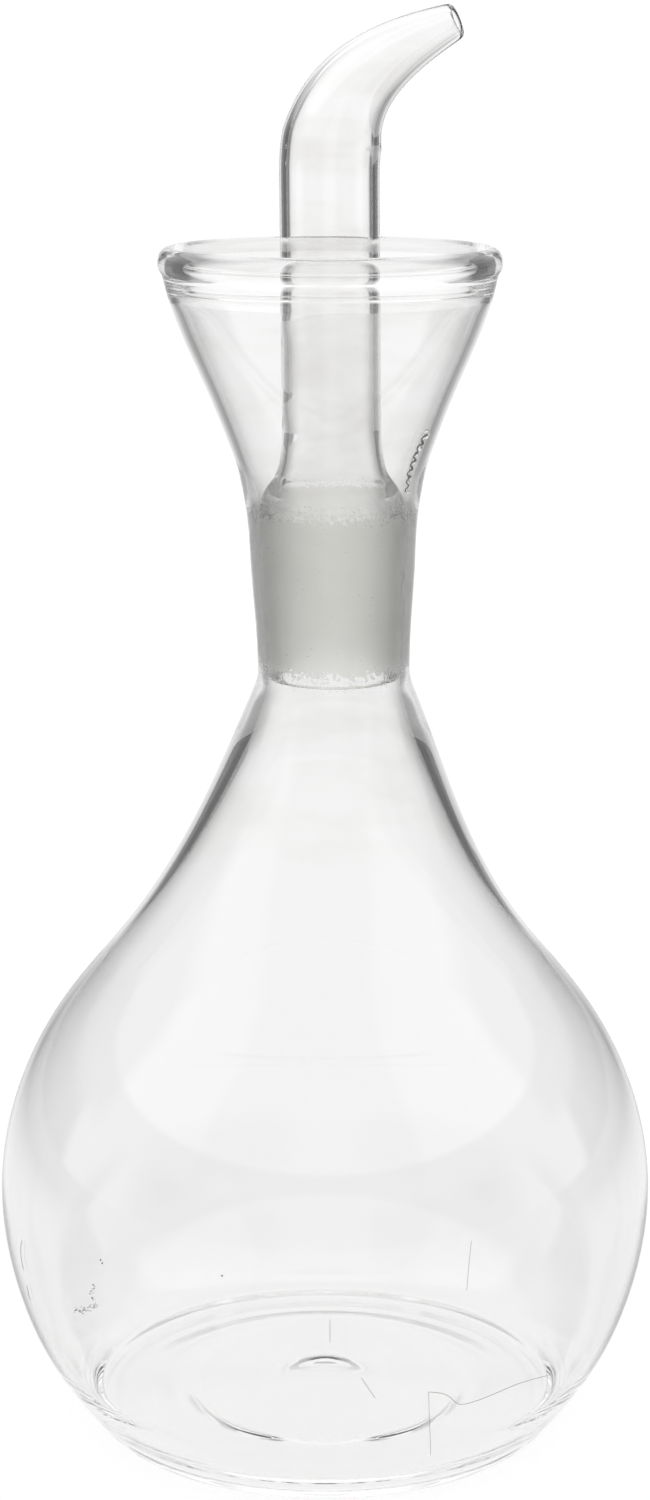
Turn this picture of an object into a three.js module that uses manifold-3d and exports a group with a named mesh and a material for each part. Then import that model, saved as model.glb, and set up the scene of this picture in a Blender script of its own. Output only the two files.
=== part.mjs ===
// An oil cruet of clear glass in two pieces, in millimetres, +Z up, spout towards +X.
// The bottle is blown in one piece: bulb, ground socket, drip funnel and fire-polished rim.
// The pourer sits in the socket: a hollow ground plug, a tube and a bent spout that tapers to its mouth.
// A small hole in the pourer's shoulder lets the oil that the funnel catches run back into the bulb.

import * as THREE from 'three';
import { mergeVertices } from 'three/addons/utils/BufferGeometryUtils.js';
import Module from 'manifold-3d';

const wasm = await Module();
wasm.setup();

// Base: a flat ring to stand on, round a shallow punt with a raised middle
const CONTACT_INNER = 32.6;
const CONTACT_OUTER = 36.2;
const HEEL_ROUNDING = 1.3;
const HEEL_END = - 40 * Math.PI / 180;
const PUNT_EDGE = 25;
const PUNT_EDGE_RISE = 0.45;
const PUNT_RISE = 0.8;
const DIMPLE_RADIUS = 10.5;
const DIMPLE_RISE = 0.5;
const FLOOR_THICKNESS = 1.7;

// Inside of the heel, where the wall runs down into the floor: radius and height
const FLOOR_FILLET = [
	[ 42.3, 9.8 ],
	[ 40.2, 6.6 ],
	[ 37.9, 4 ],
	[ 35.4, 2.55 ],
	[ 32.2, 2 ]
];

// Bulb and shoulder: the outline's main stations, radius and height, from the heel to the foot of the neck
const BELLY_RADIUS = 51;
const BELLY_HEIGHT = 37.2;
const NECK_FOOT = 118.2;
const NECK_FOOT_RADIUS = 11.5;
const BULB_OUTLINE = [
	[ 39.3, 3.2 ],
	[ 44.3, 10.6 ],
	[ 48.9, 21.9 ],
	[ BELLY_RADIUS, BELLY_HEIGHT ],
	[ 48.2, 52.2 ],
	[ 41.1, 65.8 ],
	[ 30.8, 78.6 ],
	[ 20.8, 95.6 ],
	[ 14.4, 111 ],
	[ NECK_FOOT_RADIUS, NECK_FOOT ]
];

// Wall of the bulb: height and thickness, thin at the belly and thick where the glass was gathered
const BULB_WALL = [
	[ 3.2, 1.5 ],
	[ 12, 1.15 ],
	[ BELLY_HEIGHT, 1 ],
	[ 75, 0.95 ],
	[ 91, 1.9 ],
	[ 110, 2.6 ],
	[ NECK_FOOT, 1.75 ]
];

// Ground socket: a 1 in 10 taper on diameter, inside a slightly waisted neck
const SOCKET_FOOT = 118.6;
const SOCKET_TOP = 145.4;
const SOCKET_FOOT_RADIUS = 9.95;
const TAPER = 1 / 20;
const NECK_OUTLINE = [
	[ NECK_FOOT_RADIUS, NECK_FOOT ],
	[ 11.7, 125 ],
	[ 12.4, 135.5 ],
	[ 12.75, 142 ],
	[ 14.15, 150.4 ]
];

// Funnel and rim
const FUNNEL_OUTLINE = [
	[ 14.15, 150.4 ],
	[ 17.95, 160.4 ],
	[ 22.4, 170.8 ],
	[ 24.45, 176.6 ]
];
const FUNNEL_WALL = 1.3;
const RIM_RADIUS = 25.5;
const RIM_HEIGHT = 180.5;
const BEAD_HALF_WIDTH = 1.9;
const BEAD_HALF_HEIGHT = 2.25;
const BEAD_START = - 0.3 * Math.PI;
const BEAD_END = 1.25 * Math.PI;

// Pourer: plug, shoulder and tube
const PLUG_GAP = 0.3;
const PLUG_FOOT = 118;
const PLUG_FOOT_BORE = 8.3;
const PLUG_TOP_BORE = 8.8;
const PLUG_TOP = 144.8;
const TUBE_RADIUS = 7.4;
const TUBE_BORE = 6.35;
const SHOULDER_TOP = 157.5;
const SHOULDER_OUTLINE = [
	[ 10.75, 145.6 ],
	[ 10.1, 146.9 ],
	[ 8.75, 149.4 ],
	[ 7.75, 153 ],
	[ TUBE_RADIUS, SHOULDER_TOP ]
];
const SHOULDER_BORE = [
	[ PLUG_TOP_BORE, 144 ],
	[ 8.35, 146.8 ],
	[ 7.35, 150 ],
	[ 6.65, 153.6 ],
	[ TUBE_BORE, SHOULDER_TOP ]
];

// Spout: the centre line bends over from BEND_START to the mouth, and the tube narrows along it
const BEND_START = 193.7;
const BEND_REACH = 19.2;
const MOUTH_HEIGHT = 215.1;
const MOUTH_SLOPE = 21.3 * Math.PI / 180;
const BEND_PULL = 10;
const MOUTH_PULL = 15.2;
const TAPER_START = 4.5;
const MOUTH_RADIUS = 2.55;
const MOUTH_BORE = 1.6;

// Return hole in the pourer's shoulder, on the side away from the spout
const HOLE_RADIUS = 1.2;
const HOLE_HEIGHT = 147.1;
const HOLE_CENTRE = - 9.2;
const HOLE_SLOPE = 27 * Math.PI / 180;

// The hand-set neck stands a little off the bulb's axis and leans back over it
const LEAN_START = 76;
const NECK_OFFSET = 1.4;
const LEAN_BACK = 0.01;

const BOTTLE_SEGMENTS = 48;
const POURER_SEGMENTS = 32;
const BODY_STEPS = 18;
const UNDERSIDE_STEPS = 9;
const FLOOR_STEPS = 7;
const FILLET_STEPS = 5;
const HEEL_STEPS = 3;
const NECK_STEPS = 8;
const FUNNEL_STEPS = 3;
const BEAD_STEPS = 9;
const SHOULDER_STEPS = 8;
const SPOUT_STEPS = 16;
const LIP_STEPS = 4;
const DRILL_SEGMENTS = 16;
const DRILL_LENGTH = 5;

const clearGlass = new THREE.MeshStandardMaterial( {
	color: 0xe4e9e7,
	roughness: 0.05,
	metalness: 0,
	transparent: true,
	opacity: 0.35
} );
const groundGlass = new THREE.MeshStandardMaterial( {
	color: 0xdfe1dd,
	roughness: 0.2,
	metalness: 0,
	transparent: true,
	opacity: 0.45
} );

// A smooth curve through stations of radius and height, with the stations among its points
function smoothLine( stations, steps ) {

	const curve = new THREE.CatmullRomCurve3( stations.map( ( [ r, z ] ) => new THREE.Vector3( r, z, 0 ) ) );
	return curve.getPoints( steps ).map( ( p ) => new THREE.Vector2( p.x, p.y ) );

}

// The value at a height, straight from one station to the next
function valueAt( stations, height ) {

	const next = Math.max( 1, stations.findIndex( ( [ z ] ) => z >= height ) );
	const [ lowZ, low ] = stations[ next - 1 ];
	const [ highZ, high ] = stations[ next ];
	return THREE.MathUtils.mapLinear( height, lowZ, highZ, low, high );

}

// The inner face of a wall: every point of an upward outline moved in, square to it, by the thickness there
function insetLine( line, thicknessAt ) {

	return line.map( ( point, i ) => {

		const before = line[ Math.max( i - 1, 0 ) ];
		const after = line[ Math.min( i + 1, line.length - 1 ) ];
		const along = new THREE.Vector2().subVectors( after, before ).normalize();
		const inward = new THREE.Vector2( - along.y, along.x );
		return point.clone().addScaledVector( inward, thicknessAt( point.y ) );

	} );

}

// Points on an ellipse between two angles, counted from +r towards +z
function arc( centreR, centreZ, halfWidth, halfHeight, from, to, steps ) {

	return Array.from( { length: steps + 1 }, ( _, i ) => {

		const angle = THREE.MathUtils.lerp( from, to, i / steps );
		return new THREE.Vector2( centreR + halfWidth * Math.cos( angle ), centreZ + halfHeight * Math.sin( angle ) );

	} );

}

// Height of the punt inside the standing ring
function puntHeight( r ) {

	const punt = PUNT_EDGE_RISE + ( PUNT_RISE - PUNT_EDGE_RISE ) * ( 1 - ( r / PUNT_EDGE ) ** 2 );
	return punt * ( 1 - THREE.MathUtils.smoothstep( r, PUNT_EDGE, CONTACT_INNER ) );

}

// Height of the underside: the punt, and the dimple pressed into its middle
function undersideHeight( r ) {

	return puntHeight( r ) + DIMPLE_RISE * ( 1 - THREE.MathUtils.smoothstep( r, 0, DIMPLE_RADIUS ) );

}

function socketRadius( z ) {

	return SOCKET_FOOT_RADIUS + TAPER * ( z - SOCKET_FOOT );

}

// How far the axis of the neck and pourer stands off the bulb's axis at a height
function lean( z ) {

	const offset = NECK_OFFSET * THREE.MathUtils.smoothstep( z, LEAN_START, NECK_FOOT );
	return offset - LEAN_BACK * Math.max( 0, z - NECK_FOOT );

}

// A closed outline turned round the axis, with the axis stood upright along +Z
function turned( outline, segments ) {

	return new THREE.LatheGeometry( outline, segments ).rotateX( Math.PI / 2 );

}

// Moves every point of a geometry by a rule
function reshape( geometry, rule ) {

	const position = geometry.getAttribute( 'position' );
	const point = new THREE.Vector3();
	for ( let i = 0; i < position.count; i ++ ) {

		rule( point.fromBufferAttribute( position, i ) );
		position.setXYZ( i, point.x, point.y, point.z );

	}

	geometry.computeVertexNormals();
	return geometry;

}

// Shifts a geometry onto the leaning axis
function leanOver( geometry ) {

	return reshape( geometry, ( point ) => {

		point.x += lean( point.z );

	} );

}

// The inside of the bottle's base, from the wall to the axis: a fillet, then a floor that follows the punt
function floorOutline() {

	const floorHeight = ( r ) => puntHeight( r ) + FLOOR_THICKNESS;
	const floor = Array.from( { length: FLOOR_STEPS + 1 }, ( _, i ) => {

		const r = PUNT_EDGE * ( 1 - i / FLOOR_STEPS );
		return new THREE.Vector2( r, floorHeight( r ) );

	} );
	const fillet = smoothLine( [ ...FLOOR_FILLET, [ PUNT_EDGE, floorHeight( PUNT_EDGE ) ] ], FILLET_STEPS );
	return [ ...fillet, ...floor.slice( 1 ) ];

}

// The bottle's outline: out along the underside, up the outside to the rim, and back down the inside
function bottleOutline() {

	const underside = Array.from( { length: UNDERSIDE_STEPS + 1 }, ( _, i ) => {

		const r = CONTACT_INNER * i / UNDERSIDE_STEPS;
		return new THREE.Vector2( r, undersideHeight( r ) );

	} );
	const heel = arc( CONTACT_OUTER, HEEL_ROUNDING, HEEL_ROUNDING, HEEL_ROUNDING,
		- Math.PI / 2, HEEL_END, HEEL_STEPS );
	const bulb = smoothLine( BULB_OUTLINE, BODY_STEPS );
	const neck = smoothLine( NECK_OUTLINE, NECK_STEPS );
	const funnel = smoothLine( FUNNEL_OUTLINE, FUNNEL_STEPS );
	const bead = arc( RIM_RADIUS - BEAD_HALF_WIDTH, RIM_HEIGHT, BEAD_HALF_WIDTH, BEAD_HALF_HEIGHT,
		BEAD_START, BEAD_END, BEAD_STEPS );
	const funnelInside = insetLine( funnel, () => FUNNEL_WALL ).reverse();
	const socket = [ SOCKET_TOP, SOCKET_FOOT ].map( ( z ) => new THREE.Vector2( socketRadius( z ), z ) );
	const floor = floorOutline();
	const bulbInside = insetLine( bulb, ( z ) => valueAt( BULB_WALL, z ) ).reverse().slice( 1 )
		.filter( ( point ) => point.y > floor[ 0 ].y + FLOOR_THICKNESS / 2 );

	return [ ...underside, ...heel, ...bulb, ...neck.slice( 1 ), ...funnel.slice( 1 ), ...bead,
		...funnelInside, ...socket, ...bulbInside, ...floor ];

}

function makeBottle() {

	const mesh = new THREE.Mesh( leanOver( turned( bottleOutline(), BOTTLE_SEGMENTS ) ), clearGlass );
	mesh.name = 'bottle';
	return mesh;

}

// The spout's centre line in the XZ plane, from the top of the straight tube to the mouth
const spoutLine = new THREE.CubicBezierCurve3(
	new THREE.Vector3( 0, 0, BEND_START ),
	new THREE.Vector3( 0, 0, BEND_START + BEND_PULL ),
	new THREE.Vector3( BEND_REACH - MOUTH_PULL * Math.cos( MOUTH_SLOPE ), 0,
		MOUTH_HEIGHT - MOUTH_PULL * Math.sin( MOUTH_SLOPE ) ),
	new THREE.Vector3( BEND_REACH, 0, MOUTH_HEIGHT )
);
const spoutLength = spoutLine.getLength();

// The pourer's outline before the glass is bent: heights above BEND_START are lengths along the spout
function pourerOutline() {

	const end = BEND_START + spoutLength;
	const lip = ( MOUTH_RADIUS - MOUTH_BORE ) / 2;
	const taperStart = BEND_START + TAPER_START;
	const heights = Array.from( { length: SPOUT_STEPS + 1 }, ( _, i ) =>
		THREE.MathUtils.lerp( BEND_START, end - lip, i / SPOUT_STEPS ) );
	const narrowed = ( wide, narrow, z ) =>
		THREE.MathUtils.lerp( wide, narrow, Math.max( 0, ( z - taperStart ) / ( end - taperStart ) ) );
	const spout = heights.map( ( z ) => new THREE.Vector2( narrowed( TUBE_RADIUS, MOUTH_RADIUS, z ), z ) );
	const bore = heights.map( ( z ) => new THREE.Vector2( narrowed( TUBE_BORE, MOUTH_BORE, z ), z ) ).reverse();
	const mouth = arc( MOUTH_BORE + lip, end - lip, lip, lip, 0, Math.PI, LIP_STEPS ).slice( 1, - 1 );
	const footWall = ( socketRadius( PLUG_FOOT ) - PLUG_GAP - PLUG_FOOT_BORE ) / 2;
	const foot = arc( PLUG_FOOT_BORE + footWall, PLUG_FOOT + footWall, footWall, footWall,
		- Math.PI, 0, LIP_STEPS );
	const plugTop = new THREE.Vector2( socketRadius( PLUG_TOP ) - PLUG_GAP, PLUG_TOP );

	return [ ...foot, plugTop, ...smoothLine( SHOULDER_OUTLINE, SHOULDER_STEPS ), ...spout, ...mouth, ...bore,
		...smoothLine( SHOULDER_BORE, SHOULDER_STEPS ).reverse(), foot[ 0 ] ];

}

// Bends the straight tube along the spout's centre line
function bendOver( geometry ) {

	return reshape( geometry, ( point ) => {

		if ( point.z <= BEND_START ) return;
		const along = Math.min( 1, ( point.z - BEND_START ) / spoutLength );
		const centre = spoutLine.getPointAt( along );
		const direction = spoutLine.getTangentAt( along );
		const across = point.x;
		point.x = centre.x + across * direction.z;
		point.z = centre.z - across * direction.x;

	} );

}

// A closed geometry as a solid for cutting
function solidOf( geometry ) {

	const bare = geometry.clone();
	bare.deleteAttribute( 'normal' );
	bare.deleteAttribute( 'uv' );
	const merged = mergeVertices( bare );
	const vertProperties = new Float32Array( merged.getAttribute( 'position' ).array );
	const triVerts = new Uint32Array( merged.index.array );
	return new wasm.Manifold( new wasm.Mesh( { numProp: 3, vertProperties, triVerts } ) );

}

function geometryOf( solid ) {

	const cut = solid.getMesh();
	const geometry = new THREE.BufferGeometry();
	geometry.setAttribute( 'position', new THREE.BufferAttribute( cut.vertProperties, 3 ) );
	geometry.setIndex( new THREE.BufferAttribute( cut.triVerts, 1 ) );
	geometry.computeVertexNormals();
	return geometry;

}

// The drill for the return hole, its axis square to the pourer's shoulder
function returnDrill() {

	return new THREE.CylinderGeometry( HOLE_RADIUS, HOLE_RADIUS, DRILL_LENGTH, DRILL_SEGMENTS )
		.rotateZ( Math.PI / 2 )
		.rotateY( HOLE_SLOPE )
		.translate( HOLE_CENTRE, 0, HOLE_HEIGHT );

}

function makePourer() {

	const blank = bendOver( turned( pourerOutline(), POURER_SEGMENTS ) );
	const drilled = geometryOf( solidOf( blank ).subtract( solidOf( returnDrill() ) ) );
	const mesh = new THREE.Mesh( leanOver( drilled ), groundGlass );
	mesh.name = 'pourer';
	return mesh;

}

const cruet = new THREE.Group();
cruet.add( makeBottle(), makePourer() );

export default cruet;
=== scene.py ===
# %% [markdown]
# # An oil cruet of clear glass
# The object is two pieces of thin borosilicate glass. The bottle is blown in one piece: a round bulb on a
# shallow punt, a ground socket and a drip funnel with a fire-polished rim. The pourer only stands in the
# socket: a hollow ground plug, a straight tube and a bent spout that narrows to its mouth.
# Glass has no colour of its own to paint. It shows what it bends and what it mirrors, so this lesson
# spends its care on two things: surfaces fine enough to bend light well, and the studio round them.
# The set-up brings in the CAD solids from model.glb. They stay where they are, and a finer surface stands in
# for each.

# %% Set-up
import math

import bmesh
import bpy
import numpy as np
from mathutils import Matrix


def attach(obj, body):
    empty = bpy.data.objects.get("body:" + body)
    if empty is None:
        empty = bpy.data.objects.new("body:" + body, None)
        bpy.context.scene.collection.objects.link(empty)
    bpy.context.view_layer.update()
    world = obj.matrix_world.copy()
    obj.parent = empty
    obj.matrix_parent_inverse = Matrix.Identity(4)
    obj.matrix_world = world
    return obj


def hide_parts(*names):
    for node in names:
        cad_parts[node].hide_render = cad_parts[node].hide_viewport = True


MM = 0.001
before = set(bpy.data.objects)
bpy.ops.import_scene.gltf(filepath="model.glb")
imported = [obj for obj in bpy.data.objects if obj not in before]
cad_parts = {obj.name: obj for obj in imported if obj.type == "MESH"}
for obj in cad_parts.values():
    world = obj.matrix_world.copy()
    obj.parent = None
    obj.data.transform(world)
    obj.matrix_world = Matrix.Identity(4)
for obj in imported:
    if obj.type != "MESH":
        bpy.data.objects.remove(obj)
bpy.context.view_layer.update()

# %% [markdown]
# ## The camera
# The camera looks down on the cruet a little, from close by. The spout points along +X in the model and
# leans some 15 degrees towards the viewer in the picture, so the camera stands 15 degrees round from the
# front. A sensor fitted to the frame's height keeps the framing whatever the width of the render.
# Light runs to and fro in thick glass for long before it leaves. A path that is cut short comes out black,
# so the scene allows far more bounces than a matt object needs.

# %% Camera
CAMERA_AZIMUTH = math.radians(15)
CAMERA_DISTANCE = 444.6 * MM
CAMERA_HEIGHT = 213.5 * MM
CAMERA_TILT = math.radians(13.536)
LENS_LENGTH = 71.64
SENSOR_HEIGHT = 36
CLIP_START = 10 * MM
MOST_BOUNCES, GLOSSY_BOUNCES, DIFFUSE_BOUNCES = 64, 48, 24

camera = bpy.data.objects.new("camera", bpy.data.cameras.new("camera"))
camera.data.sensor_fit = "VERTICAL"
camera.data.sensor_height = SENSOR_HEIGHT
camera.data.lens = LENS_LENGTH
camera.data.clip_start = CLIP_START
camera.location = (
    CAMERA_DISTANCE * math.sin(CAMERA_AZIMUTH),
    -CAMERA_DISTANCE * math.cos(CAMERA_AZIMUTH),
    CAMERA_HEIGHT,
)
camera.rotation_euler = (math.pi / 2 - CAMERA_TILT, 0, CAMERA_AZIMUTH)
scene = bpy.context.scene
scene.collection.objects.link(camera)
scene.camera = camera
scene.view_settings.view_transform = "Standard"
scene.cycles.max_bounces = MOST_BOUNCES
scene.cycles.transmission_bounces = MOST_BOUNCES
scene.cycles.glossy_bounces = GLOSSY_BOUNCES
scene.cycles.diffuse_bounces = DIFFUSE_BOUNCES
print("camera at", [round(value, 4) for value in camera.location])

# %% [markdown]
# ## Shader sums
# Patterns are sums and products of numbers that vary over a surface. Wiring a Math node for each by hand
# hides the formula, so a small class lets a shader socket stand in an ordinary Python expression.

# %% Nodes as expressions


class Value:
    """A number that varies over a surface: the output of a node. +, - and * add a Math node."""

    def __init__(self, graph, socket):
        self.graph = graph
        self.socket = socket

    def __add__(self, other):
        return self.graph.math("ADD", self, other)

    def __sub__(self, other):
        return self.graph.math("SUBTRACT", self, other)

    def __rsub__(self, other):
        return self.graph.math("SUBTRACT", other, self)

    def __mul__(self, other):
        return self.graph.math("MULTIPLY", self, other)

    __radd__ = __add__
    __rmul__ = __mul__


class Graph:
    """The nodes of one material or world."""

    def __init__(self, tree):
        tree.nodes.clear()
        self.tree = tree

    def node(self, kind, settings=None, inputs=None, output=0):
        """Adds a node and returns one of its outputs. Settings come first, since they can change which
        sockets there are; inputs give a socket, by name or number, a plain value or a Value to link."""
        node = self.tree.nodes.new(kind)
        for name, setting in (settings or {}).items():
            setattr(node, name, setting)
        for key, given in (inputs or {}).items():
            if isinstance(given, Value):
                self.tree.links.new(given.socket, node.inputs[key])
            else:
                node.inputs[key].default_value = given
        return Value(self, node.outputs[output]) if node.outputs else None

    def math(self, operation, *values):
        """A Math node with its values in order."""
        return self.node("ShaderNodeMath", {"operation": operation}, dict(enumerate(values)))

    def ramp(self, value, low, high):
        """0 below low, 1 above high and a smooth step between them."""
        limits = {"Value": value, "From Min": low, "From Max": high}
        return self.node("ShaderNodeMapRange", {"interpolation_type": "SMOOTHSTEP"}, limits)


print("shader sockets can be added, taken away and multiplied")

# %% [markdown]
# ## The studio
# Clear glass is only seen by what it bends and mirrors. This one stood on a glowing white table in a white
# tent that was brightest high up. Low down at both sides hung flags, nearly black behind it and grey in
# front: light that a thick wall bends steeply comes from there, and draws the dark lines along the edges.
# The tent's open front and the upper part of its back were a little darker than the rest.
# Lamps and cards could stand round the model instead. A formula of the light's direction has no noise from
# small lamps, and each part of the studio has its own named number.
# The background behind the glass and all light that has left a matt surface are plain white, so the
# picture stays evenly white round the object.

# %% Studio rules
WHITE = 1.02
STUDIO_TURN = math.radians(15)


def between(graph, value, low, high, edge):
    """1 where the value lies between low and high, in degrees, with edges that fade over edge degrees."""
    low, high, edge = (math.radians(angle) for angle in (low, high, edge))
    return graph.ramp(value, low - edge / 2, low + edge / 2) * (
        1 - graph.ramp(value, high - edge / 2, high + edge / 2)
    )


def seen_by_glass(graph):
    """1 for light that reaches the eye bent or mirrored by glass, and not by way of a matt surface."""
    counters = ("Glossy Depth", "Transmission Depth")
    depths = [graph.node("ShaderNodeLightPath", output=counter) for counter in counters]
    met_glass = graph.math("MINIMUM", depths[0] + depths[1], 1.0)
    scattered = graph.math("MINIMUM", graph.node("ShaderNodeLightPath", output="Diffuse Depth"), 1.0)
    return met_glass * (1 - scattered)


def studio_parts(graph, vector):
    """The vector's parts to the studio's right, away from its open front, and up."""
    inputs = {"Vector": vector, "Rotation": (0, 0, -STUDIO_TURN)}
    turned = graph.node("ShaderNodeMapping", {"vector_type": "VECTOR"}, inputs)
    return [graph.node("ShaderNodeSeparateXYZ", inputs={0: turned}, output=axis) for axis in "XYZ"]


print("plain white is", WHITE, "and the studio is turned", round(math.degrees(STUDIO_TURN)), "degrees")

# %% World
# Each RISE holds angles up from the horizon and each TURN angles round from the front: a start, an end and
# the width of the soft edges, in degrees. PAST_ZENITH and PAST_BACK lie beyond the last angle there is.
# LOW is where flags hang, GAP the tent's open front, and BEHIND the plain background straight behind.
TENT, SOFTBOX, OVERHEAD = 0.98, 1.75, 1.6
FLAG, FRONT_FLAG = 0.15, 0.5
BACK_SHADE, GAP_SHADE = 0.4, 0.18
FLAG_TOP, FLAG_END = 14, 162
PAST_ZENITH, PAST_BACK = 100, 200
SOFTBOX_RISE = (25, PAST_ZENITH, 2.5)
OVERHEAD_RISE = (55, PAST_ZENITH, 20)
LOW_RISE = (-90, FLAG_TOP, 10)
BACK_RISE = (FLAG_TOP, 75, 8)
FLAG_TURN = (106, FLAG_END, 6)
FRONT_FLAG_TURN = (16, 72, 12)
BACK_TURN = (95, PAST_BACK, 10)
BEHIND_TURN = (FLAG_END, PAST_BACK, 14)
GAP_TURN = (-50, 38, 5)

scene.world = bpy.data.worlds.new("studio")
scene.world.use_nodes = True
graph = Graph(scene.world.node_tree)
right, away, rise = studio_parts(graph, graph.node("ShaderNodeTexCoord", output="Generated"))
side = graph.math("ARCTAN2", right, 0 - away)
turned_away = graph.math("ABSOLUTE", side)
elevation = graph.math("ARCSINE", rise)
low = between(graph, elevation, *LOW_RISE)
flags = between(graph, turned_away, *FLAG_TURN) * low
front_flags = between(graph, turned_away, *FRONT_FLAG_TURN) * low
gap = between(graph, side, *GAP_TURN)
softbox = between(graph, elevation, *SOFTBOX_RISE)
overhead = between(graph, elevation, *OVERHEAD_RISE)
behind = between(graph, turned_away, *BEHIND_TURN)
tent = TENT + (SOFTBOX - TENT) * softbox + (OVERHEAD - SOFTBOX) * overhead
tent = tent * (1 - GAP_SHADE * gap)
back = between(graph, turned_away, *BACK_TURN) * between(graph, elevation, *BACK_RISE)
tent = tent * (1 - BACK_SHADE * back)
tent = tent + (WHITE - tent) * behind * (1 - softbox)
tent = tent + (FLAG - tent) * flags + (FRONT_FLAG - tent) * front_flags
strength = WHITE + (tent - WHITE) * seen_by_glass(graph)
background = graph.node("ShaderNodeBackground", inputs={"Color": (1, 1, 1, 1), "Strength": strength})
graph.node("ShaderNodeOutputWorld", inputs={"Surface": background})
print("tent", TENT, "with flags of", FLAG, "behind and", FRONT_FLAG, "in front")

# %% [markdown]
# ## The light table
# The table under the cruet glows, so the object throws no shadow and its foot is bright. An even glow alone
# would leave the base and the lower edges as light as the picture's background. So wherever glass shows
# the table, it is a little grey near the foot and dark far out below the flags.

# %% Table
TABLE_RADIUS = 2.5
TABLE_SIDES = 96
TABLE_COLOUR = (0.15, 0.15, 0.15, 1)
TABLE_GLOW = 0.90
TABLE_UNDER, TABLE_UNDER_END = 0.84, 70 * MM
TABLE_NEAR, TABLE_NEAR_END = 0.76, 130 * MM
TABLE_FAR, TABLE_FAR_START = 0.2, 420 * MM
TABLE_BACK_TURN = (90, 160, 25)
TABLE_FRONT_TURN, TABLE_FRONT_SHARE = (16, 76, 15), 0.4


def light_table():
    """A matt table that glows evenly. Through glass it is lightest under the foot, a little darker near it,
    and dim far out: most at both sides behind, and by a share of that at both sides in front."""
    material = bpy.data.materials.new("light_table")
    material.use_nodes = True
    graph = Graph(material.node_tree)
    right, away, _ = studio_parts(graph, graph.node("ShaderNodeTexCoord", output="Object"))
    side = graph.math("ARCTAN2", right, 0 - away)
    reach = graph.math("SQRT", right * right + away * away)
    dim = graph.ramp(reach, TABLE_NEAR_END, TABLE_FAR_START)
    turned_away = graph.math("ABSOLUTE", side)
    behind = between(graph, turned_away, *TABLE_BACK_TURN)
    front = between(graph, turned_away, *TABLE_FRONT_TURN)
    dim = dim * (behind + TABLE_FRONT_SHARE * front)
    under = 1 - graph.ramp(reach, TABLE_UNDER_END / 2, TABLE_UNDER_END)
    through_glass = TABLE_NEAR + (TABLE_FAR - TABLE_NEAR) * dim + (TABLE_UNDER - TABLE_NEAR) * under
    glow = TABLE_GLOW + (through_glass - TABLE_GLOW) * seen_by_glass(graph)
    matt = graph.node("ShaderNodeBsdfDiffuse", inputs={"Color": TABLE_COLOUR})
    emission = graph.node("ShaderNodeEmission", inputs={"Strength": glow})
    both = graph.node("ShaderNodeAddShader", inputs={0: matt, 1: emission})
    graph.node("ShaderNodeOutputMaterial", inputs={"Surface": both})
    return material


turn = np.linspace(0, 2 * np.pi, TABLE_SIDES, endpoint=False)
rim = TABLE_RADIUS * np.column_stack([np.cos(turn), np.sin(turn), np.zeros_like(turn)])
floor_mesh = bpy.data.meshes.new("floor")
floor_mesh.from_pydata(rim.tolist(), [], [list(range(TABLE_SIDES))])
floor_mesh.materials.append(light_table())
floor = bpy.data.objects.new("floor", floor_mesh)
scene.collection.objects.link(floor)
print("table radius", TABLE_RADIUS, "m")

# %% [markdown]
# ## Outlines
# Each piece is one closed outline of radius and height. Blown glass has flowing lines, so an outline is a
# cubic spline through a few stations, and the wall's other face is the same line moved square to itself
# by the thickness. Straight lines between more stations would do for a matt object, but in glass each
# corner shows as a band in the mirrored light.

# %% Lines


def smooth_line(stations, count):
    """A natural cubic spline through stations: between two of them each coordinate is a cubic in the
    chord length, and slope and curvature carry on from piece to piece."""
    points = np.array(stations, float)
    span = np.linalg.norm(np.diff(points, axis=0), axis=1)
    chord = np.r_[0, np.cumsum(span)]
    inner = np.arange(1, len(points) - 1)
    system = np.eye(len(points))
    system[inner, inner - 1] = span[:-1]
    system[inner, inner] = 2 * (span[:-1] + span[1:])
    system[inner, inner + 1] = span[1:]
    slope = np.diff(points, axis=0) / span[:, None]
    change = np.zeros_like(points)
    change[inner] = 6 * np.diff(slope, axis=0)
    bend = np.linalg.solve(system, change)
    at = np.linspace(0, chord[-1], count)
    k = np.clip(np.searchsorted(chord, at, "right") - 1, 0, len(span) - 1)
    after, before, width = (at - chord[k])[:, None], (chord[k + 1] - at)[:, None], span[k][:, None]
    curved = (bend[k] * before**3 + bend[k + 1] * after**3) / (6 * width)
    start = points[k] / width - bend[k] * width / 6
    end = points[k + 1] / width - bend[k + 1] * width / 6
    return curved + start * before + end * after


def inset(line, thickness):
    """The line moved to its left, square to itself, by the thickness at each point."""
    along = np.gradient(line, axis=0)
    along /= np.linalg.norm(along, axis=1, keepdims=True)
    left = np.column_stack([-along[:, 1], along[:, 0]])
    return line + left * np.reshape(thickness, (-1, 1))


def arc(centre, half_width, half_height, start, end, count):
    """Points on an ellipse between two angles, counted from +r towards +z."""
    angle = np.linspace(start, end, count)
    return np.array(centre) + np.column_stack([half_width * np.cos(angle), half_height * np.sin(angle)])


def smooth_step(value, low, high):
    """0 below low, 1 above high, and 3t^2 - 2t^3 between them."""
    t = np.clip((value - low) / (high - low), 0, 1)
    return t * t * (3 - 2 * t)


def soften(line, passes):
    """Rounds a line's corners: each pass moves every inner point half-way to its neighbours' middle."""
    for _ in range(passes):
        line[1:-1] = (line[:-2] + 2 * line[1:-1] + line[2:]) / 4
    return line


print("half-way up a smooth step:", smooth_step(0.5, 0, 1))

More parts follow.
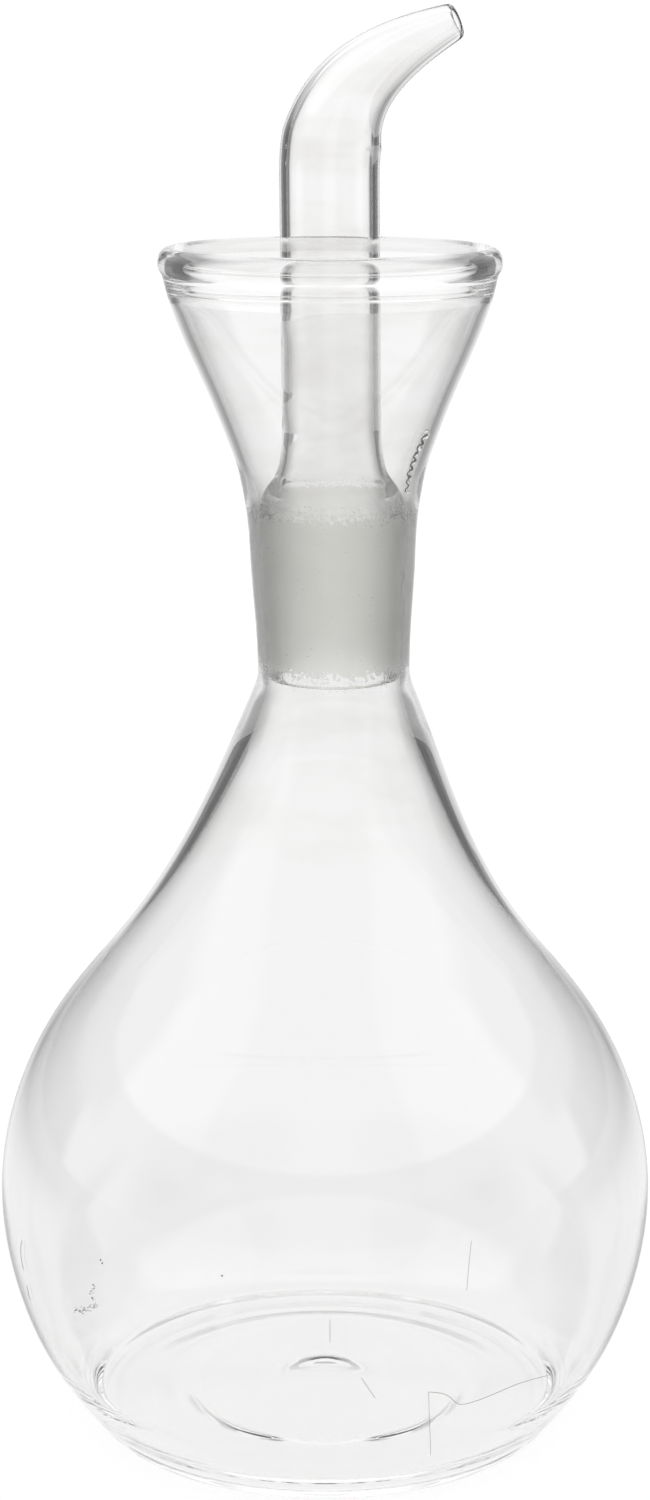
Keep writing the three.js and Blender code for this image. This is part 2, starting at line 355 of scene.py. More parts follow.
# %% [markdown]
# ## The bottle's outline
# The base is a flat standing ring round a shallow punt with a raised dimple and a faint pressed ring. The
# bulb swells to 102 mm across, draws in to a neck with a tapered ground socket inside, and opens to the
# drip funnel. The rim was melted in a flame until it gathered into a solid bead. A shell of one thickness
# would be simpler, but the wall's own swelling and thinning is what draws the edges dark or light.
# Sizes here are millimetres and become metres at the end.

# %% Bottle sizes
CONTACT_INNER, CONTACT_OUTER, HEEL_ROUNDING = 32.6, 36.2, 1.3
HEEL_END = math.radians(-40)
PUNT_EDGE, PUNT_EDGE_RISE, PUNT_RISE = 25, 0.45, 0.8
DIMPLE_RADIUS, DIMPLE_BRINK, DIMPLE_RISE = 10.5, 4.2, 0.5
FLOOR_THICKNESS = 1.7
FLOOR_FILLET = [(42.3, 9.8), (40.2, 6.6), (37.9, 4), (35.4, 2.55), (32.2, 2)]
BELLY_RADIUS, BELLY_HEIGHT = 51, 37.2
NECK_FOOT_RADIUS, NECK_FOOT = 11.5, 118.2
BULB_OUTLINE = [
    (39.3, 3.2), (44.3, 10.6), (48.9, 21.9), (BELLY_RADIUS, BELLY_HEIGHT), (48.2, 52.2), (41.1, 65.8),
    (30.8, 78.6), (20.8, 95.6), (14.4, 111), (NECK_FOOT_RADIUS, NECK_FOOT),
]
BULB_WALL = [
    (3.2, 1.5), (12, 1.15), (BELLY_HEIGHT, 1), (75, 0.95), (91, 1.9), (110, 2.6), (NECK_FOOT, 1.75),
]
SOCKET_FOOT, SOCKET_TOP, SOCKET_FOOT_RADIUS, TAPER = 118.6, 145.4, 9.95, 1 / 20
NECK_OUTLINE = [(NECK_FOOT_RADIUS, NECK_FOOT), (11.7, 125), (12.4, 135.5), (12.75, 142), (14.15, 150.4)]
FUNNEL_OUTLINE = [(14.15, 150.4), (17.95, 160.4), (22.4, 170.8), (24.45, 176.6)]
FUNNEL_WALL = 1.3
RIM_RADIUS, RIM_HEIGHT = 25.5, 180.5
BEAD_HALF_WIDTH, BEAD_HALF_HEIGHT = 1.9, 2.25
BEAD_START, BEAD_END = -0.3 * math.pi, 1.25 * math.pi
LEAN_START, NECK_OFFSET, LEAN_BACK = 76, 1.4, 0.01
print("bottle", 2 * BELLY_RADIUS, "mm wide")

# %% Bottle formulas


def lean(height):
    """How far the hand-set neck and the pourer stand off the bulb's axis at a height: a smooth step up to
    the neck's foot, and a straight line back from there."""
    offset = NECK_OFFSET * smooth_step(height, LEAN_START, NECK_FOOT)
    return offset - LEAN_BACK * np.maximum(0, height - NECK_FOOT)


def socket_radius(height):
    """The ground cone: wider by the taper for each millimetre up."""
    return SOCKET_FOOT_RADIUS + TAPER * (height - SOCKET_FOOT)


def punt_height(radius):
    """The punt's gentle dome, a parabola of the radius, cut off towards the standing ring."""
    punt = PUNT_EDGE_RISE + (PUNT_RISE - PUNT_EDGE_RISE) * (1 - (radius / PUNT_EDGE) ** 2)
    return punt * (1 - smooth_step(radius, PUNT_EDGE, CONTACT_INNER))


def underside_height(radius):
    """The punt and the dimple pressed into its middle, the mean of a wide and a steep smooth step."""
    wide = 1 - smooth_step(radius, 0, DIMPLE_RADIUS)
    steep = 1 - smooth_step(radius, DIMPLE_BRINK, DIMPLE_RADIUS)
    return punt_height(radius) + DIMPLE_RISE * (wide + steep) / 2


print("socket", 2 * socket_radius(SOCKET_FOOT), "to", round(2 * socket_radius(SOCKET_TOP), 2), "mm wide")

# %% Bottle outline
UNDERSIDE_STATIONS, HEEL_STATIONS, BULB_STATIONS, NECK_STATIONS = 70, 8, 112, 40
FUNNEL_STATIONS, BEAD_STATIONS, SOCKET_STATIONS, FLOOR_STATIONS, FILLET_STATIONS = 26, 52, 44, 60, 24
FILLET_GAP = 0.5
BOTTLE_SOFTENING = 2


def bottle_outline():
    """The outline from the middle of the underside, out and up to the rim, and back down inside."""
    radius = np.linspace(0, CONTACT_INNER, UNDERSIDE_STATIONS)
    underside = np.column_stack([radius, underside_height(radius)])
    heel_centre = (CONTACT_OUTER, HEEL_ROUNDING)
    heel = arc(heel_centre, HEEL_ROUNDING, HEEL_ROUNDING, -math.pi / 2, HEEL_END, HEEL_STATIONS)
    bulb = smooth_line(BULB_OUTLINE, BULB_STATIONS)
    neck = smooth_line(NECK_OUTLINE, NECK_STATIONS)
    funnel = smooth_line(FUNNEL_OUTLINE, FUNNEL_STATIONS)
    bead_centre = (RIM_RADIUS - BEAD_HALF_WIDTH, RIM_HEIGHT)
    bead = arc(bead_centre, BEAD_HALF_WIDTH, BEAD_HALF_HEIGHT, BEAD_START, BEAD_END, BEAD_STATIONS)
    wall_heights, walls = np.array(BULB_WALL).T
    bulb_inside = inset(bulb, np.interp(bulb[:, 1], wall_heights, walls))[::-1]
    funnel_inside = inset(funnel, FUNNEL_WALL)[::-1]
    socket_height = np.linspace(SOCKET_TOP, SOCKET_FOOT, SOCKET_STATIONS)
    socket = np.column_stack([socket_radius(socket_height), socket_height])
    floor_radius = np.linspace(PUNT_EDGE, 0, FLOOR_STATIONS)
    inner_floor = np.column_stack([floor_radius, punt_height(floor_radius) + FLOOR_THICKNESS])
    fillet = smooth_line([*FLOOR_FILLET, tuple(inner_floor[0])], FILLET_STATIONS)
    bulb_inside = bulb_inside[1:]
    bulb_inside = bulb_inside[bulb_inside[:, 1] > fillet[0, 1] + FILLET_GAP]
    outside = [underside, heel, bulb, neck[1:], funnel[1:], bead]
    inside = [funnel_inside, socket, bulb_inside, fillet, inner_floor[1:]]
    return soften(np.vstack(outside + inside), BOTTLE_SOFTENING)


outline = bottle_outline()
print("bottle outline:", len(outline), "stations, widest", outline[:, 0].max(), "mm")

# %% [markdown]
# ## From outline to surface
# Glass is turned while it is soft, so a lathe suits it: the outline goes round the axis. A Screw modifier
# would do that too. Here the points are a grid with one row for each station and one column for each step
# round, so a formula of radius, height or turn can press or lean the glass where it isn't quite round.

# %% Turning a grid
WELD_REACH = 0.0001 * MM


def turned_grid(outline, steps):
    """Points of the outline turned round Z, shape (stations, steps, 3): radius times cosine and sine of
    the turn, and the height."""
    turn = np.linspace(0, 2 * np.pi, steps, endpoint=False)
    radius, height = outline[:, :1], outline[:, 1:]
    flat = np.zeros(steps)
    return np.stack([radius * np.cos(turn), radius * np.sin(turn), height + flat], axis=-1)


def quads_between(lower, upper):
    """Faces between rings of point numbers: two neighbours below and the two above, closed round."""
    corners = [lower, np.roll(lower, -1, axis=1), np.roll(upper, -1, axis=1), upper]
    return np.stack(corners, axis=-1).reshape(-1, 4).tolist()


def glass_piece(name, grid, wraps, ground):
    """A closed smooth surface from a grid of millimetre points. Rows close round. The last row joins the
    first if wraps is true, and otherwise both lie on the axis. Ground marks stations of ground glass."""
    rows, columns = grid.shape[:2]
    index = np.arange(rows * columns).reshape(rows, columns)
    lower = index if wraps else index[:-1]
    upper = np.roll(index, -1, axis=0) if wraps else index[1:]
    mesh = bpy.data.meshes.new(name)
    mesh.from_pydata((grid.reshape(-1, 3) * MM).tolist(), [], quads_between(lower, upper))
    marks = mesh.attributes.new("ground", "FLOAT", "POINT")
    marks.data.foreach_set("value", np.repeat(ground, columns).astype(np.float32))
    welded = bmesh.new()
    welded.from_mesh(mesh)
    bmesh.ops.remove_doubles(welded, verts=welded.verts, dist=WELD_REACH)
    bmesh.ops.recalc_face_normals(welded, faces=welded.faces)
    welded.to_mesh(mesh)
    welded.free()
    mesh.polygons.foreach_set("use_smooth", np.ones(len(mesh.polygons), bool))
    piece = bpy.data.objects.new(name, mesh)
    scene.collection.objects.link(piece)
    print(name, len(mesh.polygons), "faces")
    return piece


print("points closer than", WELD_REACH, "m are welded")

# %% Pressed ring
RING_RADIUS, RING_WIDTH, RING_BACK, RING_FRONT = 23.7, 2.3, 0.1, 0.39
RING_TURN, RING_FADE = math.radians(-75), (-0.4, 0.5)


def press_ring(grid):
    """The ring a holder left in the soft underside, deeper at the front: a bell curve of the radius, whose
    height goes from the back's to the front's by a smooth step of the turn's cosine."""
    under = grid[:UNDERSIDE_STATIONS]
    radius = np.hypot(under[..., 0], under[..., 1])
    turn = np.arctan2(under[..., 1], under[..., 0])
    front = smooth_step(np.cos(turn - RING_TURN), *RING_FADE)
    bell = np.exp(-(((radius - RING_RADIUS) / RING_WIDTH) ** 2))
    under[..., 2] += (RING_BACK + (RING_FRONT - RING_BACK) * front) * bell
    return grid


print("ring pressed in by", RING_FRONT, "mm in front and", RING_BACK, "mm behind")

# %% Bottle
BOTTLE_STEPS = 176
GROUND_MARGIN, GROUND_DEPTH = 1, 0.4

bottle_grid = press_ring(turned_grid(outline, BOTTLE_STEPS))
bottle_grid[..., 0] += lean(bottle_grid[..., 2])
station_radius, station_height = outline.T
on_socket = (station_height > SOCKET_FOOT - GROUND_MARGIN) & (station_height < SOCKET_TOP + GROUND_MARGIN)
on_socket &= station_radius < socket_radius(station_height) + GROUND_DEPTH
bottle_glass = glass_piece("bottle_glass", bottle_grid, False, on_socket)
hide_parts("bottle")
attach(bottle_glass, "root")

# %% [markdown]
# ## The pourer
# A glassblower draws the pourer from one tube: the plug is ground to the socket's taper, the shoulder is
# pulled in to the tube, and the end is bent over and drawn out. A Blender curve with a bevel could bend
# too, but plug, shoulder, lip and bore all follow surely from one closed outline. So the pourer is turned
# straight, and every point above the bend is then carried onto a curve with a handle at each end.

# %% Pourer sizes
PLUG_GAP, PLUG_FOOT, PLUG_FOOT_BORE, PLUG_TOP_BORE = 0.06, 118, 8.3, 8.8
PLUG_TOP, PLUG_BORE_END = SOCKET_TOP - 0.6, 144
TUBE_RADIUS, TUBE_BORE, SHOULDER_TOP = 7.4, 6.35, 156.5
SHOULDER_OUTLINE = [(10.75, 145.6), (10, 146.7), (8.7, 148.7), (7.7, 152), (TUBE_RADIUS, SHOULDER_TOP)]
SHOULDER_BORE = [
    (PLUG_TOP_BORE, PLUG_BORE_END), (8.35, 146.6), (7.35, 149.3), (6.65, 152.6), (TUBE_BORE, SHOULDER_TOP),
]
BEND_START, BEND_EASE, BEND_REACH, MOUTH_HEIGHT = 193.7, 5, 19.2, 215.1
MOUTH_SLOPE = math.radians(21.3)
BEND_PULL, MOUTH_PULL, TAPER_START = 10, 15.2, 4.5
MOUTH_RADIUS, MOUTH_BORE = 2.55, 1.6
print("tube", 2 * TUBE_RADIUS, "mm wide, mouth", 2 * MOUTH_RADIUS, "mm")

# %% Spout line
CURVE_POINTS, SPOUT_POINTS, SPOUT_SOFTENING = 2001, 120, 40

mouth_handle = (
    BEND_REACH - MOUTH_PULL * math.cos(MOUTH_SLOPE),
    MOUTH_HEIGHT - MOUTH_PULL * math.sin(MOUTH_SLOPE),
)
handles = np.array([
    (0, BEND_START), (0, BEND_START + BEND_PULL), mouth_handle, (BEND_REACH, MOUTH_HEIGHT),
])
late = np.linspace(0, 1, CURVE_POINTS)[:, None]
early = 1 - late
weights = np.hstack([early**3, 3 * late * early**2, 3 * late**2 * early, late**3])
curve = weights @ handles
curve_reach = np.r_[0, np.cumsum(np.linalg.norm(np.diff(curve, axis=0), axis=1))]
spout_length = curve_reach[-1]
spout_reach = np.linspace(-BEND_EASE, spout_length, SPOUT_POINTS)
spout_line = np.column_stack([np.interp(spout_reach, curve_reach, curve[:, k]) for k in (0, 1)])
spout_line[:, 1] += np.minimum(spout_reach, 0)
spout_line = soften(spout_line, SPOUT_SOFTENING)
spout_direction = np.gradient(spout_line, axis=0)
spout_direction /= np.linalg.norm(spout_direction, axis=1, keepdims=True)
print("spout length along its bend:", round(spout_length, 2), "mm")


def bend_over(grid):
    """Carries points above the bend onto the spout's line: the extra height becomes a length along the
    line, and x becomes a distance square to it."""
    along = np.maximum(grid[..., 2] - BEND_START, -BEND_EASE)
    at = [np.interp(along, spout_reach, spout_line[:, k]) for k in (0, 1)]
    way = [np.interp(along, spout_reach, spout_direction[:, k]) for k in (0, 1)]
    across = grid[..., 0].copy()
    bent = along > -BEND_EASE
    grid[..., 0] = np.where(bent, at[0] + across * way[1], across)
    grid[..., 2] = np.where(bent, at[1] - across * way[0], grid[..., 2])
    return grid


# %% Pourer outline
SPOUT_STATIONS, MOUTH_STATIONS, FOOT_STATIONS, PLUG_STATIONS = 60, 12, 12, 48
SHOULDER_STATIONS, TUBE_STATIONS, PLUG_BORE_STATIONS = 40, 24, 30
POURER_SOFTENING = 1


def pourer_outline():
    """The outline from the plug's foot up the outside to the mouth's lip and back down the bore."""
    end = BEND_START + spout_length
    lip = (MOUTH_RADIUS - MOUTH_BORE) / 2
    height = np.linspace(BEND_START, end - lip, SPOUT_STATIONS)
    drawn = np.clip((height - BEND_START - TAPER_START) / (spout_length - TAPER_START), 0, 1)
    spout = np.column_stack([TUBE_RADIUS + (MOUTH_RADIUS - TUBE_RADIUS) * drawn, height])
    bore = np.column_stack([TUBE_BORE + (MOUTH_BORE - TUBE_BORE) * drawn, height])[::-1]
    mouth = arc((MOUTH_BORE + lip, end - lip), lip, lip, 0, math.pi, MOUTH_STATIONS)[1:-1]
    wall = (socket_radius(PLUG_FOOT) - PLUG_GAP - PLUG_FOOT_BORE) / 2
    foot = arc((PLUG_FOOT_BORE + wall, PLUG_FOOT + wall), wall, wall, -math.pi, 0, FOOT_STATIONS)
    plug_height = np.linspace(PLUG_FOOT + wall, PLUG_TOP, PLUG_STATIONS)[1:]
    plug = np.column_stack([socket_radius(plug_height) - PLUG_GAP, plug_height])
    shoulder = smooth_line(SHOULDER_OUTLINE, SHOULDER_STATIONS)
    tube_height = np.linspace(SHOULDER_TOP, BEND_START, TUBE_STATIONS)[1:-1]
    tube = np.column_stack([np.full_like(tube_height, TUBE_RADIUS), tube_height])
    tube_bore = np.column_stack([np.full_like(tube_height, TUBE_BORE), tube_height])[::-1]
    shoulder_bore = smooth_line(SHOULDER_BORE, SHOULDER_STATIONS)[::-1]
    bore_height = np.linspace(PLUG_BORE_END, PLUG_FOOT + wall, PLUG_BORE_STATIONS)[1:-1]
    bore_share = (bore_height - PLUG_FOOT) / (PLUG_BORE_END - PLUG_FOOT)
    bore_radius = PLUG_FOOT_BORE + (PLUG_TOP_BORE - PLUG_FOOT_BORE) * bore_share
    plug_bore = np.column_stack([bore_radius, bore_height])
    parts = [foot, plug, shoulder, tube, spout, mouth, bore, tube_bore, shoulder_bore, plug_bore]
    return soften(np.vstack(parts), POURER_SOFTENING)


pourer_line = pourer_outline()
print("pourer outline:", len(pourer_line), "stations")

# %% Wavy bore
WAVE_DEPTH, WAVE_LONG, WAVE_SHORT, WAVE_SHIFT = 0.07, 13.0, 6.1, 1
WAVE_RISE, WAVE_FALL = (152, 156), (172, 182)
BORE_MARGIN = 0.5


def wavy_bore(grid, radius):
    """Hand-drawn tube is never quite even: on the side away from the spout the bore wanders in and out
    as the sum of two sines of the height. Both fade with the squared cosine of the turn, and at the ends."""
    height = grid[..., 2]
    turn = np.arctan2(grid[..., 1], grid[..., 0])
    waves = np.sin(2 * np.pi * height / WAVE_LONG) + np.sin(2 * np.pi * height / WAVE_SHORT + WAVE_SHIFT)
    away = np.maximum(0, -np.cos(turn)) ** 2
    reach = smooth_step(height, *WAVE_RISE) * (1 - smooth_step(height, *WAVE_FALL))
    inside = (radius < TUBE_RADIUS - BORE_MARGIN)[:, None]
    push = 1 + WAVE_DEPTH * waves * away * reach * inside / TUBE_BORE
    grid[..., 0] *= push
    grid[..., 1] *= push
    return grid


print("bore uneven by", WAVE_DEPTH, "mm")

# %% Pourer
POURER_STEPS = 128
PLUG_MARK_ABOVE, PLUG_MARK_OUTSIDE = 0.4, 0.6

pourer_grid = wavy_bore(turned_grid(pourer_line, POURER_STEPS), pourer_line[:, 0])
pourer_grid = bend_over(pourer_grid)
pourer_grid[..., 0] += lean(pourer_grid[..., 2])
pourer_radius, pourer_height = pourer_line.T
on_plug = pourer_height < SOCKET_TOP + PLUG_MARK_ABOVE
on_plug &= pourer_radius > PLUG_TOP_BORE + PLUG_MARK_OUTSIDE
pourer_glass = glass_piece("pourer_glass", pourer_grid, True, on_plug)

# %% [markdown]
# ## The return hole
# Oil that drips down the spout gathers in the funnel, and a small hole in the pourer's shoulder lets it
# run back. A hole could be left in the grid, but its edge would follow the grid's squares. So it is drilled
# about square to the shoulder with a Boolean, the one cut in the object, and the cut mesh then takes the
# place of the modifier.

# %% Return hole
HOLE_RADIUS, HOLE_HEIGHT, HOLE_CENTRE = 1.2, 147.1, -9.2
HOLE_SLOPE = math.radians(27)
DRILL_LENGTH, DRILL_SIDES = 5, 48
CREASE_ANGLE = math.radians(40)

drill_mesh = bpy.data.meshes.new("drill")
drill_shape = bmesh.new()
bmesh.ops.create_cone(
    drill_shape, cap_ends=True, segments=DRILL_SIDES, depth=DRILL_LENGTH * MM,
    radius1=HOLE_RADIUS * MM, radius2=HOLE_RADIUS * MM,
)
drill_shape.to_mesh(drill_mesh)
drill_shape.free()
drill = bpy.data.objects.new("drill", drill_mesh)
scene.collection.objects.link(drill)
drill.location = ((HOLE_CENTRE + lean(HOLE_HEIGHT)) * MM, 0, HOLE_HEIGHT * MM)
drill.rotation_euler = (0, math.pi / 2 + HOLE_SLOPE, 0)
cut = pourer_glass.modifiers.new("return_hole", "BOOLEAN")
cut.operation = "DIFFERENCE"
cut.object = drill
bpy.context.view_layer.update()
shapes = bpy.context.evaluated_depsgraph_get()
cut_mesh = bpy.data.meshes.new_from_object(pourer_glass.evaluated_get(shapes))
pourer_glass.modifiers.clear()
pourer_glass.data = cut_mesh
bpy.data.objects.remove(drill)
cut_mesh.set_sharp_from_angle(angle=CREASE_ANGLE)
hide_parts("pourer")
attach(pourer_glass, "root")
print("pourer with its hole:", len(cut_mesh.polygons), "faces")

# %% [markdown]
# ## Glass, clear and ground
# Clear borosilicate bends light by an index of 1.47 and has hardly any tint. The faces that meet in the
# joint were ground with wet grit, so they scatter light and look a warm grey-white. Matt white paint would
# be as pale but would stop the light from behind. So the ground zone stays glass that lets most light
# through, with a rough surface. One material holds both finishes and mixes them by the mark on the mesh,
# and a fine noise leaves the upper and lower edge of the grinding speckled. A broad noise lays faint grey
# smears over the upper half.

# %% Glass material
GLASS_INDEX = 1.47
CLEAR_TINT = (0.974, 0.975, 0.973, 1)
GROUND_TINT = (1, 1, 0.975, 1)
GROUND_ROUGHNESS = 0.38
GROUND_CLEARNESS = 0.92
MARK_START, MARK_FULL = 0.4, 0.6
GRAIN_SCALE, GRAIN_DETAIL, GRAIN_SHARPNESS = 1700.0, 2.0, 0.02
GRAIN_AT_EDGE, GRAIN_IN_MIDDLE = 0.36, 0.74
GROUND_EDGE = 3.5 * MM
SMEAR_TINT = (0.925, 0.92, 0.915, 1)
STREAK_SCALE, STREAK_DETAIL = (45.0, 45.0, 160.0), 3.0
STREAK_START, STREAK_FULL = 0.45, 0.7
SMEAR_START, SMEAR_FULL = 85 * MM, 105 * MM


def glass_material(name, low, high):
    """Clear glass with a ground zone between two heights, in metres, where the mesh is marked ground: a
    grain below the cut is ground, and the cut falls towards both heights. Sockets 6 and 7 of the Mix node
    are its two colours, and output 2 is the mixed one."""
    material = bpy.data.materials.new(name)
    material.use_nodes = True
    graph = Graph(material.node_tree)
    place = graph.node("ShaderNodeTexCoord", output="Object")
    height = graph.node("ShaderNodeSeparateXYZ", inputs={0: place}, output="Z")
    stretch = {"Vector": place, "Scale": STREAK_SCALE}
    streaked = graph.node("ShaderNodeMapping", {"vector_type": "POINT"}, stretch)
    broad = {"Vector": streaked, "Scale": 1.0, "Detail": STREAK_DETAIL}
    streak = graph.node("ShaderNodeTexNoise", inputs=broad)
    smeared = graph.ramp(streak, STREAK_START, STREAK_FULL) * graph.ramp(height, SMEAR_START, SMEAR_FULL)
    colours = {"Factor": smeared, 6: CLEAR_TINT, 7: SMEAR_TINT}
    tint = graph.node("ShaderNodeMix", {"data_type": "RGBA"}, colours, output=2)
    clear = graph.node(
        "ShaderNodeBsdfPrincipled",
        inputs={"Base Color": tint, "Roughness": 0.0, "IOR": GLASS_INDEX, "Transmission Weight": 1.0},
    )
    ground = graph.node(
        "ShaderNodeBsdfPrincipled",
        inputs={
            "Base Color": GROUND_TINT,
            "Roughness": GROUND_ROUGHNESS,
            "IOR": GLASS_INDEX,
            "Transmission Weight": GROUND_CLEARNESS,
        },
    )
    marked = graph.node("ShaderNodeAttribute", {"attribute_name": "ground"}, output="Fac")
    fine = {"Vector": place, "Scale": GRAIN_SCALE, "Detail": GRAIN_DETAIL}
    grain = graph.node("ShaderNodeTexNoise", inputs=fine)
    inside = graph.ramp(height, low, low + GROUND_EDGE) * (1 - graph.ramp(height, high - GROUND_EDGE, high))
    cut = GRAIN_AT_EDGE + (GRAIN_IN_MIDDLE - GRAIN_AT_EDGE) * inside
    spared = graph.ramp(grain - cut, -GRAIN_SHARPNESS, GRAIN_SHARPNESS)
    mask = graph.ramp(marked, MARK_START, MARK_FULL) * (1 - spared)
    mixed = graph.node("ShaderNodeMixShader", inputs={0: mask, 1: clear, 2: ground})
    graph.node("ShaderNodeOutputMaterial", inputs={"Surface": mixed})
    return material


glass = glass_material("cruet_glass", SOCKET_FOOT * MM, SOCKET_TOP * MM)
for piece in (bottle_glass, pourer_glass):
    piece.data.materials.clear()
    piece.data.materials.append(glass)
print("glass of index", GLASS_INDEX)

# %% [markdown]
# ## Traces of handling
# The glass isn't perfect: a wavering line of dirt grains, some specks and hairline scratches lie on the
# bulb, a trail of drops clings to the funnel, and small seeds of air are drawn out in the spout's wall.
# They could be painted on, but as shapes they shade, bend and mirror light like the real ones. A scratch
# is a thin tube along a few points, each a turn round the axis in degrees and a height in millimetres.
# Grains, drops and seeds are small ellipsoids at such points.

# %% Places on the glass
BULB_POINTS, FUNNEL_POINTS = 400, 100
BULB_SURFACE = smooth_line(BULB_OUTLINE, BULB_POINTS)
FUNNEL_SURFACE = smooth_line(FUNNEL_OUTLINE, FUNNEL_POINTS)


def on_glass(surface, turns, heights, lift):
    """Points in millimetres on a turned surface, pushed out by the lift: the surface's radius at each
    height, turned to x and y, plus the lean."""
    radius = np.interp(heights, surface[:, 1], surface[:, 0]) + lift
    angle = np.radians(turns)
    return np.column_stack([radius * np.cos(angle) + lean(heights), radius * np.sin(angle), heights])


print("surfaces of", BULB_POINTS, "and", FUNNEL_POINTS, "points")

# %% Tubes and ellipsoids
SCRATCH_SIDES, BALL_SUBDIVISIONS = 6, 2


def trace(name, mesh, material):
    """An object for a mesh in one material, riding on the body."""
    mesh.materials.append(material)
    piece = bpy.data.objects.new(name, mesh)
    scene.collection.objects.link(piece)
    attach(piece, "root")
    return piece


def thin_tube(name, path, thickness, material):
    """A thin tube along a path: each ring is the path's point plus a small circle square to the path's
    direction there."""
    along = np.gradient(path, axis=0)
    along /= np.linalg.norm(along, axis=1, keepdims=True)
    outward = np.column_stack([path[:, 0], path[:, 1], np.zeros(len(path))])
    first = np.cross(along, outward)
    first /= np.linalg.norm(first, axis=1, keepdims=True)
    second = np.cross(along, first)
    turn = np.linspace(0, 2 * np.pi, SCRATCH_SIDES, endpoint=False)[None, :, None]
    rings = path[:, None] + thickness * (first[:, None] * np.cos(turn) + second[:, None] * np.sin(turn))
    index = np.arange(len(path) * SCRATCH_SIDES).reshape(-1, SCRATCH_SIDES)
    ends = [index[0].tolist(), index[-1][::-1].tolist()]
    mesh = bpy.data.meshes.new(name)
    mesh.from_pydata((rings.reshape(-1, 3) * MM).tolist(), [], quads_between(index[:-1], index[1:]) + ends)
    return trace(name, mesh, material)


def drops(name, centres, sizes, material):
    """Ellipsoids in one mesh: each is a ball of radius 1 scaled to three radii and moved to its centre,
    in millimetres."""
    mesh = bpy.data.meshes.new(name)
    balls = bmesh.new()
    for centre, radii in zip(centres, sizes):
        ball = bmesh.ops.create_icosphere(balls, subdivisions=BALL_SUBDIVISIONS, radius=1)["verts"]
        bmesh.ops.scale(balls, vec=[radius * MM for radius in radii], verts=ball)
        bmesh.ops.translate(balls, vec=[value * MM for value in centre], verts=ball)
    balls.to_mesh(mesh)
    balls.free()
    mesh.polygons.foreach_set("use_smooth", np.ones(len(mesh.polygons), bool))
    return trace(name, mesh, material)


print("tubes have", SCRATCH_SIDES, "sides")

# %% Scratches and dirt
SCRATCH_POINTS = 24
DIRT_COLOUR, DIRT_ROUGHNESS = (0.2, 0.2, 0.19, 1), 0.6
THIN, WIDE = 0.035, 0.04
SCRATCHES = {
    "scratch_right": (THIN, [(-50.3, 45.1), (-51.0, 41.8), (-51.5, 38.1)]),
    "scratch_left": (THIN, [(-139.3, 35.4), (-140.5, 32.4), (-140.1, 30.2)]),
    "scratch_left_low": (THIN, [(-139.8, 27.7), (-140.0, 25.1)]),
    "hair": (
        WIDE, [(-30.8, 19.1), (-39.5, 19.8), (-48.8, 18.7), (-51.2, 19.0), (-53.0, 20.6), (-57.2, 22.2)],
    ),
    "hair_upright": (THIN, [(-57.2, 22.2), (-56.0, 15.9), (-54.0, 9.2)]),
    "tick_middle": (THIN, [(-74.2, 35.4), (-74.2, 31.9)]),
    "tick_low": (THIN, [(-69.0, 25.8), (-66.5, 22.1)]),
}
SPECKS = [(-115.0, 39.4), (-91.8, 41.1), (-114.6, 39.0)]
SPECK_RADIUS = 0.14
DIRT_LINE = [(-116.3, 35.2), (-117.2, 33.4), (-116.4, 32.2), (-118.8, 30.6), (-120.8, 29.7), (-122.4, 29.2)]
DIRT_COUNT, DIRT_TURN_SPREAD, DIRT_HEIGHT_SPREAD = 70, 0.35, 0.3
DIRT_RADIUS, DIRT_CHANCE = (0.05, 0.11), 5

dirt = bpy.data.materials.new("dirt")
dirt.use_nodes = True
graph = Graph(dirt.node_tree)
finish = {"Base Color": DIRT_COLOUR, "Roughness": DIRT_ROUGHNESS}
matt = graph.node("ShaderNodeBsdfPrincipled", inputs=finish)
graph.node("ShaderNodeOutputMaterial", inputs={"Surface": matt})
for name, (thickness, stations) in SCRATCHES.items():
    turns, heights = smooth_line(stations, SCRATCH_POINTS).T
    thin_tube(name, on_glass(BULB_SURFACE, turns, heights, 0), thickness, dirt)
speck_turns, speck_heights = np.array(SPECKS).T
specks = on_glass(BULB_SURFACE, speck_turns, speck_heights, 0)
drops("specks", specks, [[SPECK_RADIUS] * 3] * len(specks), dirt)
chance = np.random.default_rng(DIRT_CHANCE)
grain_turns, grain_heights = smooth_line(DIRT_LINE, DIRT_COUNT).T
grain_turns = grain_turns + chance.normal(0, DIRT_TURN_SPREAD, DIRT_COUNT)
grain_heights = grain_heights + chance.normal(0, DIRT_HEIGHT_SPREAD, DIRT_COUNT)
grain_sizes = chance.uniform(*DIRT_RADIUS, (DIRT_COUNT, 3))
drops("dirt_grains", on_glass(BULB_SURFACE, grain_turns, grain_heights, 0), grain_sizes, dirt)
print(len(SCRATCHES), "scratches,", len(SPECKS), "specks and", DIRT_COUNT, "grains of dirt")

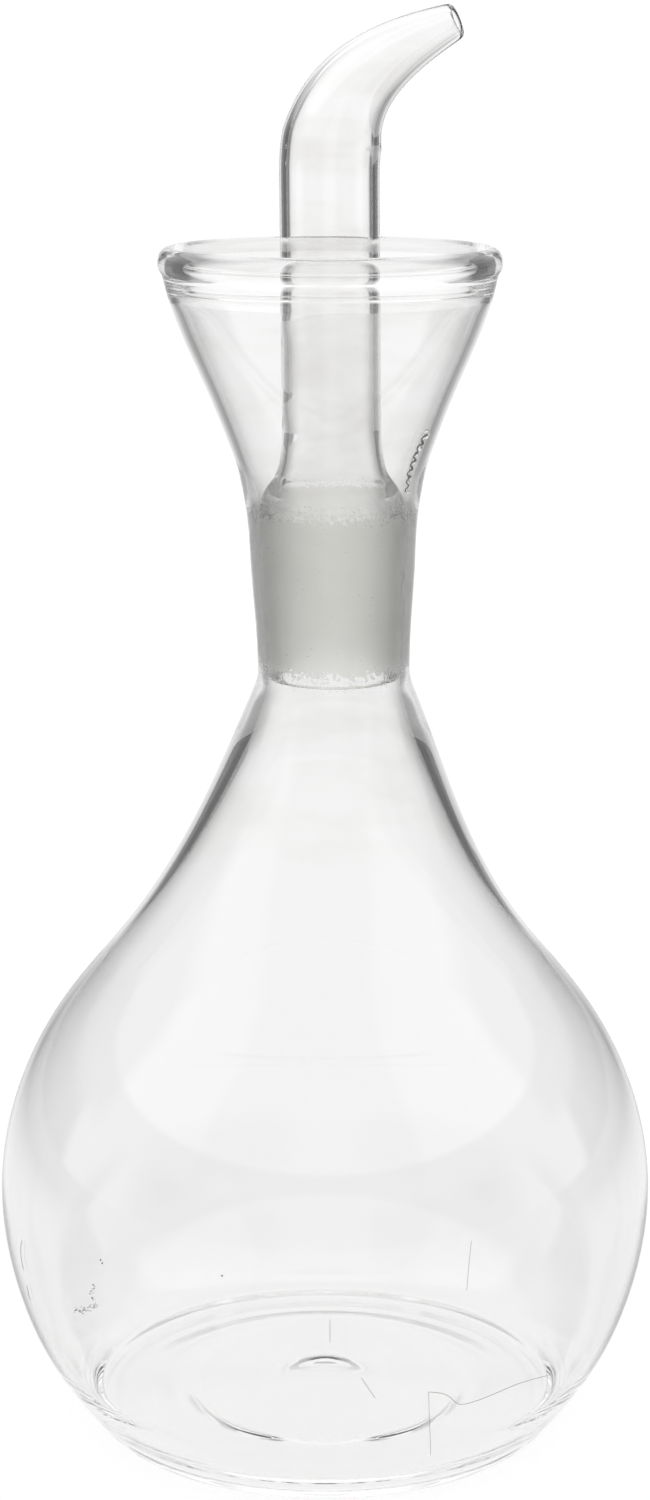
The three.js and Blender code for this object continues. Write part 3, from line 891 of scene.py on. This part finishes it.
# %% Drops and seeds
# A drop and a seed are each a turn in degrees, and a height and a radius in millimetres.
DROP_TRAIL = [
    (-18.3, 156.2, 0.62), (-19.6, 155.0, 0.36), (-20.3, 154.2, 0.48),
    (-21.4, 153.3, 0.34), (-22.2, 152.3, 0.48), (-22.4, 151.2, 0.36),
    (-22.8, 150.2, 0.42), (-23.6, 149.1, 0.32), (-24.6, 147.9, 0.4),
]
DROP_LIFT, DROP_STRETCH = 0.15, 1.3
TRAIL_WANDER, TRAIL_WAVE, TRAIL_THICKNESS = 1.3, 5.0, 0.11
TRAIL_POINTS, TRAIL_LIFT = 90, 0.05
SEEDS = [(-138.0, 194.6, 0.16), (-140.0, 196.6, 0.2), (-134.0, 199.6, 0.15)]
SEED_RADIUS, SEED_STRETCH = (TUBE_RADIUS + TUBE_BORE) / 2, 2.0
drop_turns, drop_heights, drop_radii = np.array(DROP_TRAIL).T
drop_sizes = np.column_stack([drop_radii, drop_radii, drop_radii * DROP_STRETCH])
drops("drops", on_glass(FUNNEL_SURFACE, drop_turns, drop_heights, DROP_LIFT), drop_sizes, glass)
trail_turns, trail_heights = smooth_line(list(zip(drop_turns, drop_heights)), TRAIL_POINTS).T
trail_turns = trail_turns + TRAIL_WANDER * np.sin(TRAIL_WAVE * trail_heights)
trail = on_glass(FUNNEL_SURFACE, trail_turns, trail_heights, TRAIL_LIFT)
thin_tube("drop_trail", trail, TRAIL_THICKNESS, dirt)
seed_turns, seed_heights, seed_radii = np.array(SEEDS).T
seed_turns = np.radians(seed_turns)
seed_x, seed_y = SEED_RADIUS * np.cos(seed_turns), SEED_RADIUS * np.sin(seed_turns)
straight_up = np.column_stack([seed_x, seed_y, seed_heights])
seed_places = bend_over(straight_up[None])[0]
seed_places[:, 0] += lean(seed_places[:, 2])
seed_sizes = np.column_stack([seed_radii, seed_radii, seed_radii * SEED_STRETCH])
seeds = drops("seeds", seed_places, seed_sizes, glass)
seeds.data.flip_normals()
print(len(DROP_TRAIL), "drops and", len(SEEDS), "seeds")
